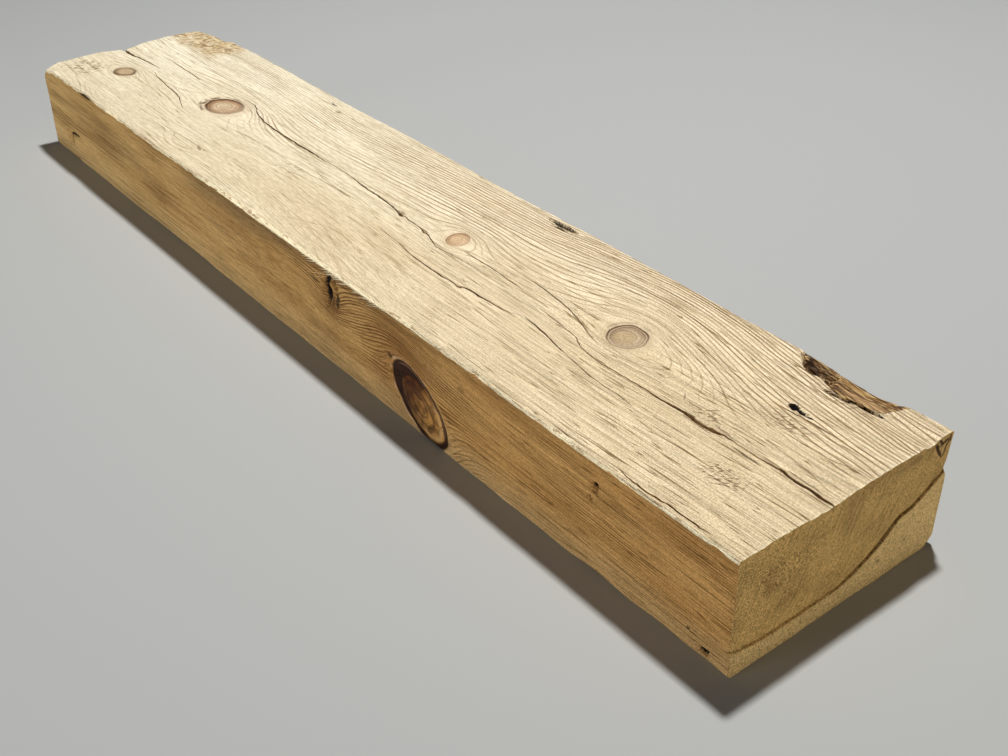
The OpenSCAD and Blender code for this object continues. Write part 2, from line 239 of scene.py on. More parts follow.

# Dark spots that the material draws on each face: centre, half sizes, turn, strength; the strong ones on the
# top and front are painted shade in holes, hollows and cracks
SPOTS = {
    "top": [((652, 60.4), (6.4, 4.4), 0, 1.0), ((661, 58.6), (8, 3.0), -8, 1.0),
            ((671, 57), (8, 2.0), -6, 1.0), ((697, 111.6), (22, 2.2), 3, 1.0),
            ((668, 106), (17, 1.4), 2, 0.9), ((214, 135), (24, 3.4), 0, 0.8),
            ((217, 128), (13, 2.0), 0, 0.7), ((-312, 129), (8, 2.6), 0, 0.7), ((-281, 117), (6, 2), 0, 0.5),
            ((-296, -102), (9, 2.2), -14, 0.55), ((-284, -100), (4, 2), 20, 0.4),
            ((-450, -9), (8, 2.4), 25, 0.62), ((-446, -24), (8, 2.2), -30, 0.62),
            ((-427, -33), (10, 2.0), -18, 0.58), ((-518, 144), (6, 3), 0, 0.7),
            ((-598, -145), (20, 2.0), 2, 0.6), ((570, -7), (6, 1.2), -45, 0.5),
            ((586, -9.5), (13, 1.2), 0, 0.55), ((604, -3), (8, 1.2), 45, 0.55),
            ((614, -11.5), (12, 1.6), -10, 0.55), ((675, -31.5), (20, 1.3), -4, 0.7),
            ((608, -30.5), (22, 1.2), -2, 0.6), ((634, -19), (14, 1.2), -8, 0.55),
            ((738, -19.5), (22, 1.1), -3, 0.5)],
    "front": [((111, 108), (5.8, 19), 4, 1.0), ((131, 120), (5.0, 8), 10, 0.85),
              ((137, 109), (4.6, 8), 16, 0.8), ((134, 98), (4.6, 7), 10, 0.75),
              ((124, 97), (3.4, 8), -8, 0.6), ((121, 126), (12, 3.4), 4, 0.85),
              ((122, 89), (15, 4), -4, 0.3), ((87, 112), (16, 1.3), 2, 0.8),
              ((592, 108), (4.4, 4.2), 0, 1.0), ((585, 89), (2.6, 2.6), 0, 0.85),
              ((597, 100), (7, 1.4), -40, 0.25), ((743, 10), (6, 4.6), 0, 1.0),
              ((724, 26), (2.6, 2.2), 0, 0.7), ((-686, 45), (20, 2.6), 5, 0.95),
              ((-702, 35), (5.5, 10), 0, 0.9), ((-598, 135.6), (22, 2.4), 1, 0.85),
              ((243, 81), (5, 3), -40, 0.7), ((-582, 85), (66, 1.6), -3, 0.4),
              ((381, 106), (7, 3), 0, 0.4)],
    "end": [((124, 128), (2.4, 8), 35, 1.0), ((133, 131), (8, 2), 15, 0.9), ((130, 119), (2, 7), 30, 0.95),
            ((138, 126), (1.8, 7), -20, 0.9), ((127, 134), (7, 1.4), -50, 0.95),
            ((136, 116), (6, 1.3), 60, 0.9), ((142, 133), (1.6, 5), 10, 0.9),
            ((96, 31), (1.8, 1.8), 0, 0.7), ((58, 25), (1.6, 1.6), 0, 0.7), ((13, 28), (1.5, 1.5), 0, 0.6),
            ((90, 131), (9, 4), 10, 0.3)],
}
# Strength from which a spot on the top or front is black, as painted shade in a hole, strength past which
# one on the front is sunk too, and the depth drawn
HOLE_STRENGTH = 0.7
SUNK_STRENGTH = 0.8
SPOT_DEPTH = 9.0

# Streaks in the rot pocket: centre, half sizes, turn, strength, colour; the two near-black ones are painted
# shade in its cave
ROT_STREAKS = [
    ((672, 136), (34, 2.4), 2, 0.6, (170, 126, 66)), ((690, 120), (34, 5.5), 1, 0.5, (222, 178, 126)),
    ((620, 132), (20, 1.8), -25, 0.8, (126, 86, 38)), ((612, 137), (16, 2.8), -26, 0.95, (38, 22, 10)),
    ((629, 126), (15, 3.2), -26, 0.9, (44, 26, 12)), ((664, 130), (22, 1.1), -6, 0.85, (64, 38, 16)),
    ((694, 128), (26, 1.1), 4, 0.85, (70, 42, 18)), ((656, 119), (16, 1.4), -8, 0.8, (80, 48, 22)),
    ((706, 133), (16, 1.0), 2, 0.8, (80, 50, 22)),
]

# Patches of torn specks: face, centre, half sizes, strength
SPECKS = [("top", (-712, -92), (38, 32), 0.9), ("top", (684, -72), (30, 20), 0.9),
          ("top", (668, 34), (36, 13), 0.75), ("top", (680, 102), (46, 7), 0.7),
          ("top", (604, -12), (24, 9), 0.8), ("top", (-147, -42), (40, 20), 0.5),
          ("end", (-84, 94), (46, 22), 0.9), ("end", (-132, 120), (14, 18), 0.5),
          ("front", (772, 76), (4, 52), 0.5), ("front", (132, 108), (12, 20), 0.8)]
# Swirls in the growth rings of the top: centre, half sizes, rise
SWIRLS = [((-560, -128), (72, 46), 13.0), ((-330, -112), (46, 26), 7.0), ((528, 22), (62, 30), 8.0),
          ((40, -110), (70, 40), -7.0)]

# Ring shake across the near end: (y, z, opening, darkness of the painted shade in it)
SHAKE = [(-143, 31, 1.4, 0.12), (-120, 26.5, 2.0, 0.18), (-100, 24, 2.0, 0.2), (-50, 23, 2.0, 0.2),
         (0, 24, 2.0, 0.24), (18, 28, 2.2, 0.36), (35, 35, 3.0, 0.75), (50, 43, 3.4, 1.0),
         (62, 51, 3.6, 1.0), (75, 61, 3.6, 1.0), (82, 66, 3.0, 0.85), (100, 69, 2.6, 0.6),
         (120, 78, 2.4, 0.5), (142, 92, 1.8, 0.4)]
SHAKE_SETBACK = 2.0
# Lines along an end crack: side, share of its depth, darkness of the painted shade
SLIT_LINES = [(0.5, 0.0, 0.12), (0.3, 0.7, 0.9), (0.0, 1.0, 1.0), (-0.3, 0.7, 0.9), (-0.5, 0.0, 0.12)]
# End cracks: (y, z, opening, darkness of the painted shade in them)
END_CRACKS = [[(-23, 126, 0.8, 0.4), (-22, 122, 1.0, 0.5), (-22, 117, 0.7, 0.3)],
              [(55, 100, 0.8, 0.4), (52, 94, 1.2, 0.6), (49, 88, 0.8, 0.4)],
              [(27, 133, 0.8, 0.4), (26, 128, 1.1, 0.5), (25, 122, 0.8, 0.3)],
              [(39, 134, 0.8, 0.3), (36, 124, 1.2, 0.5), (32, 112, 0.8, 0.3)]]
# Depth of the shake and of the cracks for each millimetre of opening, where they are darkest
SHAKE_REACH = 5.0
CRACK_REACH = 3.0
# Spacing of the points on the two ends
NEAR_SPACING = 3.0
FAR_SPACING = 6.0

# Growth rings: pith line above the top
PITH_Y = -70.0
PITH_Z = 330.0
# Grain that runs out to the front edge, and its arch over the round knot
RUN_OUT = 24.0
ARCH = 24.0

# Mesh: edges sharper than this angle stay sharp; UV map in millimetres
SHARP_ANGLE = 32.0
UV_SHEET = (1560.0, 1056.0)
UV_MARGIN = 4.0
UV_GAP = 10.0
UV_FAR_END = 320.0


def smooth(low, high, value):
    t = np.clip((value - low) / (high - low), 0.0, 1.0)
    return t * t * (3.0 - 2.0 * t)


def along(points, x):
    """Value at x of a measured line of (x, value) points"""
    px, pv = np.array(points, float).T
    return np.interp(x, px, pv)


class Noise:
    """Seeded smooth noise in three directions, about -1 to 1"""

    CELLS = 48

    def __init__(self, seed):
        self.grid = np.random.default_rng(seed).uniform(-1, 1, (self.CELLS,) * 3)

    def __call__(self, x, y, z=0.0):
        low = [np.floor(v).astype(int) for v in np.broadcast_arrays(x, y, z)]
        part = [v - i for v, i in zip(np.broadcast_arrays(x, y, z), low)]
        part = [t * t * (3.0 - 2.0 * t) for t in part]
        total = np.zeros(part[0].shape)
        for corner in np.ndindex(2, 2, 2):
            weight = 1.0
            index = []
            for step, t, i in zip(corner, part, low):
                weight = weight * (t if step else 1.0 - t)
                index.append((i + step) % self.CELLS)
            total += weight * self.grid[tuple(index)]
        return total


NOISE = Noise(SEED)


def stations():
    xs = [-HALF_L]
    while xs[-1] < HALF_L:
        xs.append(xs[-1] + float(along(STATION_STEPS, xs[-1])))
    xs = np.array(xs)
    return -HALF_L + (xs + HALF_L) * (2 * HALF_L / (xs[-1] + HALF_L))


def ellipse(u, v, half_u, half_v, turn):
    """Distance from the centre of a turned ellipse, 1 on its edge"""
    c = math.cos(math.radians(turn))
    s = math.sin(math.radians(turn))
    return np.hypot((u * c + v * s) / half_u, (v * c - u * s) / half_v)


class Section:
    """Rows of the closed section at all stations: up the front, over the top, down the back"""

    def __init__(self, x):
        self.x = x
        self.y, self.z, self.side = [], [], []
        self.depth, self.deep, self.face = [], [], []

    def row(self, y, z, face, side, depth=0.0, deep=0.0):
        rows = (self.y, self.z, self.side, self.depth, self.deep)
        for kept, value in zip(rows, (y, z, side, depth, deep)):
            kept.append(value * np.ones_like(self.x))
        self.face.append(face)

    def corner(self, centre_y, centre_z, half_y, half_z, start, end, rows, faces, sides):
        """Corner between two faces, between a flat chamfer and an arc, without its two end rows"""
        first, last = math.radians(start), math.radians(end)
        for i in range(1, rows + 1):
            t = i / (rows + 1)
            a = first + (last - first) * t
            cos_flat = math.cos(first) + (math.cos(last) - math.cos(first)) * t
            sin_flat = math.sin(first) + (math.sin(last) - math.sin(first)) * t
            across = CORNER_ROUND * math.cos(a) + (1 - CORNER_ROUND) * cos_flat
            up = CORNER_ROUND * math.sin(a) + (1 - CORNER_ROUND) * sin_flat
            self.row(centre_y + half_y * across, centre_z + half_z * up,
                     faces[0] if t < 0.5 else faces[1], sides[0] + (sides[1] - sides[0]) * t)

    def strip(self, y0, y1, z0, z1, rows, face, side):
        """Flat rows from one line to another, both ends included"""
        for t in np.linspace(0.0, 1.0, rows):
            self.row(y0 + (y1 - y0) * t, z0 + (z1 - z0) * t, face, side)


def lane_rows(section, x, front, back):
    """Top rows: each lane gets two lips, two walls and a root, and plain rows fill the gaps"""
    last = front
    for lane, rows in zip(LANES, GAP_ROWS):
        seed = len(lane["name"])
        jitter = 0.7 * NOISE(x / 11.0, seed * 7.3) + 0.6 * NOISE(x / 4.6, seed * 2.9)
        centre = np.maximum(along(lane["path"], x) + jitter, front + 1.2)
        mouth = along(lane["mouth"], x) * (1.0 + 0.4 * NOISE(x / 6.0, seed * 3.1, 5.5))
        width = np.maximum(mouth, CLOSED_W)
        section_gap(section, last, centre - width / 2, rows)
        depth = CHECK_SLOPE * mouth
        shade = np.clip(mouth / 2.4, 0.0, 1.0) ** 0.6
        for offset, share, dark in CHECK_ROWS:
            section.row(centre + offset * width, TOP, "top", 0.0, share * depth, shade * dark)
        last = centre + width / 2
    band = back - BACK_BAND
    section_gap(section, last, band, GAP_ROWS[-1])
    section.strip(band, back, TOP, TOP, BACK_BAND_ROWS, "top", 0.0)


def section_gap(section, start, end, rows):
    """Rows between two lines, ends left out"""
    for i in range(1, rows + 1):
        section.row(start + (end - start) * (i / (rows + 1)), TOP, "top", 0.0)


def torn(x, pitch, size, seed):
    """Torn fibres along an edge: each runs out to a tip and then breaks back"""
    rng = np.random.default_rng(seed)
    starts = -HALF_L + np.cumsum(rng.uniform(*pitch, int(2 * HALF_L / pitch[0])))
    sizes = rng.uniform(*size, len(starts)) * rng.uniform(0.4, 1.0, len(starts))
    at = np.clip(np.searchsorted(starts, x) - 1, 0, len(starts) - 2)
    t = np.clip((x - starts[at]) / (starts[at + 1] - starts[at]), 0.0, 1.0)
    return sizes[at] * (1.0 - t) ** 1.2


def tear_field(x, z):
    """Tears on the front edge: their count along it, and the depth below it as a share of their height"""
    low = np.maximum(TOP - z, 0.0)
    foot = x + TEAR_RUN * low
    count = foot / TEAR_PITCH + 1.2 * NOISE(foot / 44.0, 5.1)
    height = along(TEAR_HEIGHT, foot) * np.clip(1.0 + 0.6 * NOISE(foot / 30.0, 8.3), 0.5, 1.6)
    return count, np.minimum(low / height, 2.0)


def front_corner(section, x):
    """Front face and its worn corner; returns the size of the lower corner and the y where the top starts"""
    foot = along(FOOT_FRONT, x) * (1.0 + 0.3 * NOISE(x / 30.0, 9.5))
    wear = torn(x, WORN_PITCH, WORN_SIZE, SEED + 2)
    low_z = TOP - along(FRONT_DROP, x) - wear
    inset = along(FRONT_INSET, x) + wear
    section.strip(-HALF_W, -HALF_W, foot, TOP - TEAR_REACH, FRONT_ROWS, "front", 1.0)
    for t in np.linspace(0.0, 1.0, TEAR_ROWS + 1)[1:]:
        section.row(-HALF_W, TOP - TEAR_REACH + (low_z - TOP + TEAR_REACH) * t, "front", 1.0)
    for i in range(1, ARRIS_ROWS + 1):
        t = i / (ARRIS_ROWS + 1)
        section.row(-HALF_W + inset * t, low_z + (TOP - low_z) * t, "front" if t < 0.5 else "top", 1.0 - t)
    section.row(-HALF_W + inset, TOP, "top", 0.0)
    return foot, -HALF_W + inset


def make_section(x):
    section = Section(x)
    wear = torn(x, WORN_PITCH, WORN_SIZE, SEED + 3)
    back_y = along(BACK_INSET, x) + wear
    back_z = along(BACK_DROP, x) + wear
    foot_b = along(FOOT_BACK, x)
    foot_f, front = front_corner(section, x)
    lane_rows(section, x, front, HALF_W - back_y)
    section.corner(HALF_W - back_y, TOP - back_z, back_y, back_z, 90, 0,
                   ARRIS_ROWS, ("top", "back"), (0, 1))
    section.strip(HALF_W, HALF_W, TOP - back_z, foot_b, BACK_ROWS, "back", 1.0)
    section.corner(HALF_W - foot_b, foot_b, foot_b, foot_b, 0, -90,
                   FOOT_ROWS, ("back", "bottom"), (1, 1))
    section.strip(HALF_W - foot_b, -HALF_W + foot_f, 0.0, 0.0, BOTTOM_ROWS, "bottom", 1.0)
    section.corner(-HALF_W + foot_f, foot_f, foot_f, foot_f, -90, -180,
                   FOOT_ROWS, ("bottom", "front"), (1, 1))
    return section


def worn_top(x, y):
    """Depth of the worn face below the top"""
    valley = VALLEY_DEPTH * np.exp(-((y - along(MAIN_CHECK["path"], x)) / VALLEY_W) ** 2)
    wave = WAVE_H * (0.5 + 0.5 * np.sin(2 * np.pi * x / WAVE_L))
    dip = 3.2 * np.exp(-((y - 113) / 11) ** 2) * smooth(650, 770, x)
    rough = 0.5 * NOISE(x / 70, y / 16) + 0.25 * NOISE(x / 24, y / 6, 3.3)
    corner = 8.0 * smooth(-118, -146, y) * smooth(-728, -772, x)
    scallop = (0.8 * NOISE(y / 9, 2.2) + 0.5 * NOISE(y / 4, 6.2)) * smooth(HALF_L - 24, HALF_L, x)
    return valley * 0.8 + wave + dip + rough + scallop + corner


def pocket(x, y):
    """Rot pocket: its depth, its mask and the mask of the cave in it"""
    inside = y - along(POCKET_RIM, x) + 2.0 * NOISE(x / 8, y / 4, 7.7) + 0.9 * NOISE(x / 3.5, y / 2.5, 1.2)
    cave = smooth(595, 606, x) * (1 - smooth(630, 650, x)) * smooth(146, 138, y)
    layer = NOISE(x / 34, y / 4.2, 1.7) * 3.0
    layer = np.round(layer * 0.8) / 0.8 * 0.6 + layer * 0.4 + 0.8 * NOISE(x / 7, y / 2.2, 4.1)
    strip = smooth(640, 660, x)
    layer = layer * (1.0 - 0.7 * strip)
    deep = POCKET_FLOOR * (1.0 - 0.75 * strip) + (CAVE_DEPTH - POCKET_FLOOR) * cave + layer
    edge = along(POCKET_EDGE, x) + 0.6 * layer
    depth = deep + (edge - deep) * smooth(6, np.maximum(HALF_W - along(POCKET_RIM, x), 8.0), inside)
    mask = smooth(0, 2.4, inside)
    return np.maximum(depth, 0.0) * mask, mask, cave * mask


def far_rot(x, y):
    """Rotted far corner of the top"""
    edge = smooth(-588, -640, x + 18 * NOISE(x / 22, y / 9, 2.2))
    edge = edge * smooth(66, 88, y + 9 * NOISE(x / 18, y / 7, 6.1))
    return np.clip(edge * (0.75 + 0.5 * NOISE(x / 9, y / 4, 8.8)), 0, 1)


def knot_distance(knot, x, other):
    return ellipse(x - knot["at"][0], other - knot["at"][1], *knot["half"], knot["turn"])


def front_relief(x, z):
    """Depth of hollows in the front face"""
    depth = 0.35 * NOISE(x / 90, z / 30, 1.1) + 0.15 * NOISE(x / 20, z / 6, 1.9)
    bowl = knot_distance(SLIT_KNOT, x, z)
    depth += 3.0 * np.clip(1.25 - bowl, 0, 1)
    for (sx, sz), (half_x, half_z), turn, strength in SPOTS["front"]:
        if strength > SUNK_STRENGTH:
            r = ellipse(x - sx, z - sz, half_x + 0.8, half_z + 0.8, turn)
            depth += min(2.2 * min(half_x, half_z), 9.0) * np.sqrt(np.clip(1.2 - r, 0, 1))
    r = knot_distance(BARK_KNOT, x, z)
    depth += 1.8 * np.exp(-((r - 0.95) / 0.2) ** 2) + 1.0 * smooth(1.05, 0.75, r)
    return depth


def shake_height(y):
    path = np.array(SHAKE)
    return np.interp(y, path[:, 0], path[:, 1])


def end_shift(x, y, z):
    """Raked, worn far end; the near one is set back a little above the shake"""
    fade = 1 - smooth(-HALF_L, -HALF_L + FAR_FADE, x)
    far = fade * (along(FAR_EDGE, y) + HALF_L + 1.5 * NOISE(y / 6, z / 8)) * np.clip(z / TOP, 0, 1)
    over = z - shake_height(y)
    setback = SHAKE_SETBACK * smooth(0.0, 1.0, over) * smooth(70, 0, over)
    near = smooth(HALF_L - 10, HALF_L, x) * (0.5 * NOISE(y / 30, z / 30, 4) - 0.6 - setback)
    return far + near


def shape(section):
    """Places of all grid points at rest and in the worn plank, with their masks"""
    x = np.repeat(section.x[:, None], len(section.y), 1)
    y, z = np.array(section.y).T, np.array(section.z).T
    side, deep = np.array(section.side).T, np.array(section.deep).T
    face = np.array(section.face)
    hole, pocket_mask, cave = pocket(x, y)
    decay = far_rot(x, y)
    drop = worn_top(x, y) + hole + 1.2 * decay
    on_top = np.where(face == "top", 1.0, 0.0)
    for px, py, half_x, half_y, pit, turn in TOP_PITS:
        r = ellipse(x - px, y - py, half_x, half_y, turn)
        drop = drop + pit * np.sqrt(np.clip(1.2 - r, 0, 1)) * on_top
    top_share = np.clip((z - TOP + DROP_REACH) / DROP_REACH, 0.0, 1.0)
    lift = along(FOOT_LIFT, x) * smooth(-HALF_W + 30, -HALF_W, y) * smooth(25, 0, z)
    in_front = (face == "front") * smooth(TOP, TOP - 12, z) * smooth(0, 6, z)
    notch = NOTCH_DEPTH * np.exp(-((z - NOTCH_Z) / 7) ** 2) * smooth(HALF_L - 26, HALF_L, x)
    notch = notch * (face == "back")
    place = np.stack([x + end_shift(x, y, z), y + front_relief(x, z) * in_front - notch,
                      z - drop * top_share - np.array(section.depth).T + lift], -1)
    tear, share = tear_field(x, z)
    share = np.where(y < 0.0, share, 2.0 * side)
    share = np.where(face == "bottom", 2.0, share)
    on_rim = smooth(TOP - 16, TOP - 3, z)
    # Lighter low on the front: painted bounce light from the floor and a painted highlight along the lower
    # edge
    foot = (0.5 * smooth(4, 0, z) + 0.3 * smooth(55, 5, z)) * (y < -HALF_W + 8)
    # deep: the darkness of the painted shade in the checks
    masks = {"tear": tear, "share": share, "deep": deep, "rot": pocket_mask * on_rim,
             "decay": decay * on_rim, "cave": cave, "worn": foot}
    return np.stack([x, y, z], -1), place, masks


def inside_polygon(points, loop):
    """Even-odd test of points against a closed loop"""
    inside = np.zeros(len(points), bool)
    px, py = points[:, 0], points[:, 1]
    for (x0, y0), (x1, y1) in zip(loop, np.roll(loop, -1, 0)):
        if y0 != y1:
            crossing = ((y0 > py) != (y1 > py)) & (px < (x1 - x0) * (py - y0) / (y1 - y0) + x0)
            inside ^= crossing
    return inside


def nearest(points, others):
    """Distance from each point to the nearest of the others"""
    best = np.full(len(points), 1e9)
    for other in others:
        best = np.minimum(best, np.hypot(points[:, 0] - other[0], points[:, 1] - other[1]))
    return best


def slit(path, spacing):
    """Lips, walls and root along a crack, with the opening and the darkness of its painted shade at each
    step
    """
    path = np.array(path, float)
    length = np.r_[0, np.cumsum(np.hypot(*np.diff(path[:, :2], axis=0).T))]
    steps = np.linspace(0, length[-1], max(3, int(length[-1] / spacing) + 1))
    y, z, mouth, dark = (np.interp(steps, length, path[:, i]) for i in range(4))
    z = z + 0.5 * NOISE(y / 6.0, 8.1)
    mouth = mouth * (1 + 0.3 * NOISE(y / 5.0, 2.7))
    ty, tz = np.gradient(y), np.gradient(z)
    norm = np.hypot(ty, tz)
    ny, nz = -tz / norm, ty / norm
    lines = [np.stack([y + ny * mouth * side, z + nz * mouth * side], 1) for side, _, _ in SLIT_LINES]
    return lines, mouth, dark


def end_cap(loop, spacing, cracks, rng):
    """Points and triangles that close an end: the loop's own points come first"""
    points, edges = [tuple(p) for p in loop], []
    depth, deep = [0.0] * len(loop), [0.0] * len(loop)
    keep_off = list(loop[::2])
    for path, reach in cracks:
        lines, mouth, dark = slit(path, spacing)
        for line, (_, share, level) in zip(lines, SLIT_LINES):
            first = len(points)
            points += [tuple(p) for p in line]
            edges += [(first + i, first + i + 1) for i in range(len(line) - 1)]
            depth += list(share * reach * mouth * dark)
            # Painted shade inside the crack, darkest at its root
            deep += list(level * dark)
            keep_off += list(line[::2])
    lo, hi = loop.min(0), loop.max(0)
    gy, gz = np.meshgrid(np.arange(lo[0], hi[0], spacing), np.arange(lo[1], hi[1], spacing))
    fill = np.stack([gy.ravel(), gz.ravel()], 1) + rng.uniform(-0.25, 0.25, (gy.size, 2)) * spacing
    fill = fill[inside_polygon(fill, loop)]
    fill = fill[nearest(fill, keep_off) > 0.62 * spacing]
    points += [tuple(p) for p in fill]
    depth += [0.0] * len(fill)
    deep += [0.0] * len(fill)
    done = delaunay_2d_cdt([Vector(p) for p in points], edges, [list(range(len(loop)))[::-1]], 1, 1e-4)
    verts, faces, source = done[0], done[2], done[3]
    index = [s[0] if s else -1 for s in source]
    if -1 in index:
        raise RuntimeError("an end crack crosses another line")
    return np.array(points), np.array(depth), np.array(deep), [[index[i] for i in f] for f in faces]


def bend_round_knots(x, y, z):
    """Grain pushed aside by knots: its two coordinates, the rise of its rings, and lined and calm zones"""
    across = y + RUN_OUT * smooth(-240, 270, x) * smooth(0, -140, y)
    across = across - ARCH * np.exp(-((x - 425) / 210) ** 2) * smooth(25, 105, y)
    up = z.copy()
    rise, lined, wake = (np.zeros_like(x) for _ in range(3))
    for knot in KNOTS + [BARK_KNOT, SLIT_KNOT]:
        on_top = knot["face"] == "top"
        here = smooth(70, 120, z) if on_top else smooth(-118, -138, y) * smooth(139, 128, z)
        off = (across if on_top else up) - knot["at"][1]
        half_u, half_v = knot["half"]
        r = ellipse(x - knot["at"][0], off, half_u * knot["stretch"], half_v, knot["turn"])
        bend = 0.85 * off / (1.0 + r ** 4) ** (knot["fall"] / 4) * here
        if on_top:
            across = across - bend
            wake = np.maximum(wake, smooth(1.35, 0.85, r) * here)
        else:
            up = up - bend
        rise += knot["rise"] * np.exp(-np.maximum(r - 1.0, 0.0) / 1.1) * here
        ringed = smooth(3.4, 1.4, r) * smooth(0.9, 1.3, r) * here
        lined = np.maximum(lined, ringed * (0.42 if on_top else 1.0))
    for (sx, sy), (half_u, half_v), height in SWIRLS:
        swirl = np.exp(-ellipse(x - sx, y - sy, half_u, half_v, 0) ** 2) * smooth(100, 130, z)
        rise += height * swirl
        lined = np.maximum(lined, 0.6 * swirl)
    return across, up, rise, lined, wake


def growth_ring(x, across, up, rise):
    """Distance from the wandering pith, and the pith's own y"""
    pith_y = PITH_Y + 9 * np.sin(x / 210.0) + 5 * np.sin(x / 77.0 + 1)
    ring = np.hypot(across - pith_y, up - PITH_Z - 0.01 * x) - rise
    ring = ring + 1.6 * NOISE(x / 120, across / 26, up / 26) + 0.6 * NOISE(x / 45, across / 8, up / 8)
    return ring, pith_y


def ring_slope(mesh, verts, ring):
    """How fast the rings follow one another along the surface"""
    normals = np.zeros(len(verts) * 3, np.float32)
    mesh.vertex_normals.foreach_get("vector", normals)
    normals = normals.reshape(-1, 3)
    slopes = []
    for step in np.diag([1.0, 0.5, 0.5]):
        x, y, z = (verts + step).T
        moved, _ = growth_ring(x, *bend_round_knots(x, y, z)[:3])
        slopes.append((moved - ring) / step.max())
    slopes = np.stack(slopes, -1)
    slopes = slopes - normals * (slopes * normals).sum(-1, keepdims=True)
    return np.clip(np.linalg.norm(slopes, axis=-1), 0.05, 1.2)


def speck_field(x, y, z):
    """How torn the surface is"""
    zones = {"top": (x, y, smooth(118, 128, z)), "front": (x, z, smooth(-134, -140, y)),
             "end": (y, z, smooth(HALF_L - 7, HALF_L - 5, x))}
    speck = np.zeros_like(x)
    for face, centre, halves, strength in SPECKS:
        u, v, here = zones[face]
        r = ellipse(u - centre[0], v - centre[1], *halves, 0)
        speck = np.maximum(speck, strength * smooth(1.15, 0.5, r) * here)
    return speck


def wood_tone(x, y, z, across, up):
    """How dark the wood is: 0 is light, 1 is the middle tone"""
    tone = 0.5 + 0.22 * NOISE(x / 160, across / 9, up / 9) + 0.24 * NOISE(x / 90, across / 40, up / 40)
    upper = smooth(122, 136, z)
    pale = smooth(-120, -138, y) * smooth(-260, -140, x) * smooth(640, 380, x) * upper
    back = smooth(10, 70, y) * upper
    dull = smooth(-10, -60, y) * smooth(240, 100, x) * upper
    return np.clip(tone - 0.2 * pale - 0.3 * back + 0.45 * dull, -0.3, 1.2)


def wood_fields(p):
    """Grain coordinates, rings, and how dark, lined, stained or torn the wood is at each point"""
    x, y, z = p.T
    across, up, rise, lined, wake = bend_round_knots(x, y, z)
    ring, pith_y = growth_ring(x, across, up, rise)
    on_top = smooth(110, 135, z)
    on_front = smooth(-120, -140, y)
    band = smooth(46, 66, across) * smooth(150, 118, across) * smooth(-120, 60, x) * smooth(720, 600, x)
    near = smooth(420, 640, x) * smooth(-10, 40, y)
    lined = np.maximum(lined, np.maximum(0.95 * band, 0.95 * near) * on_top)
    fade = np.clip(0.42 + 0.75 * NOISE(x / 90, across / 16, up / 16), 0.12, 1.0)
    flat = smooth(0.34, 0.14, np.abs(across - pith_y) / np.maximum(ring, 1.0))
    flat = flat * on_top * smooth(-330, -200, x)
    calm = smooth(-250, -520, x) * on_top
    fade = np.maximum(fade * (1 - 0.6 * flat), lined) * (1 - 0.35 * calm)
    by_bark = smooth(2.3, 1.1, knot_distance(BARK_KNOT, x, z)) * smooth(330, 250, x)
    by_slit = 0.8 * smooth(1.9, 1.0, knot_distance(SLIT_KNOT, x, z))
    # A darker, greyer band along the top of the front face
    weather = smooth(104, 126, z + 8 * NOISE(x / 50, 4.4)) * smooth(-330, -200, x) * smooth(110, 20, x)
    slant = smooth(-190, -90, x) * smooth(290, 200, x) * smooth(-55, -105, y) * smooth(110, 130, z)
    return {"grain": np.stack([x, across, up], -1), "ring": ring, "fade": fade, "wake": wake, "slant": slant,
            "tone": wood_tone(x, y, z, across, up), "stain": np.maximum(by_bark, by_slit) * on_front,
            "weather": weather * smooth(-135, -144, y), "speck": speck_field(x, y, z)}


def close_end(loop, spacing, cracks, sign, rng):
    """An end's own points at rest and in place, their masks, and triangles that count the loop first"""
    points, depth, deep, triangles = end_cap(loop, spacing, cracks, rng)
    own = len(loop)
    y, z = points[own:].T
    rest = np.column_stack([np.full(len(y), sign * HALF_L), y, z])
    place = rest.copy()
    place[:, 0] += end_shift(rest[:, 0], y, z) - sign * depth[own:]
    masks = dict.fromkeys(("tear", "rot", "decay", "cave"), np.zeros(len(y)))
    masks["share"] = np.full(len(y), 2.0)
    # Paler wood below the shake on the near end
    masks["worn"] = 0.85 * smooth(0, -3, z - shake_height(y)) * bool(cracks)
    # Painted shade in the shake and the end cracks
    masks["deep"] = deep[own:]
    return rest, place, masks, triangles


def make_plank():
    section = make_section(stations())
    rest, place, masks = shape(section)
    count, rows = place.shape[:2]
    grid = np.arange(count * rows).reshape(count, rows)
    after = np.roll(grid, -1, 1)
    faces = np.stack([grid[:-1], grid[1:], after[1:], after[:-1]], -1).reshape(-1, 4).tolist()
    labels = section.face * (count - 1)
    rests, places = [rest.reshape(-1, 3)], [place.reshape(-1, 3)]
    fields = {name: [mask.ravel()] for name, mask in masks.items()}
    total = count * rows
    near_cracks = [(SHAKE, SHAKE_REACH)] + [(crack, CRACK_REACH) for crack in END_CRACKS]
    rng = np.random.default_rng(SEED)
    ends = (("near", -1, NEAR_SPACING, near_cracks, 1), ("far", 0, FAR_SPACING, [], -1))
    for name, station, spacing, cracks, sign in ends:
        rest, end_place, masks, triangles = close_end(place[station, :, 1:], spacing, cracks, sign, rng)
        rests.append(rest)
        places.append(end_place)
        for key, mask in masks.items():
            fields[key].append(mask)
        lookup = np.r_[grid[station], total + np.arange(len(rest))]
        faces += [[int(lookup[i]) for i in triangle[::sign]] for triangle in triangles]
        labels += [name] * len(triangles)
        total += len(rest)
    fields = {name: np.concatenate(parts) for name, parts in fields.items()}
    return finish_mesh(np.concatenate(rests), np.concatenate(places), fields, faces, np.array(labels))


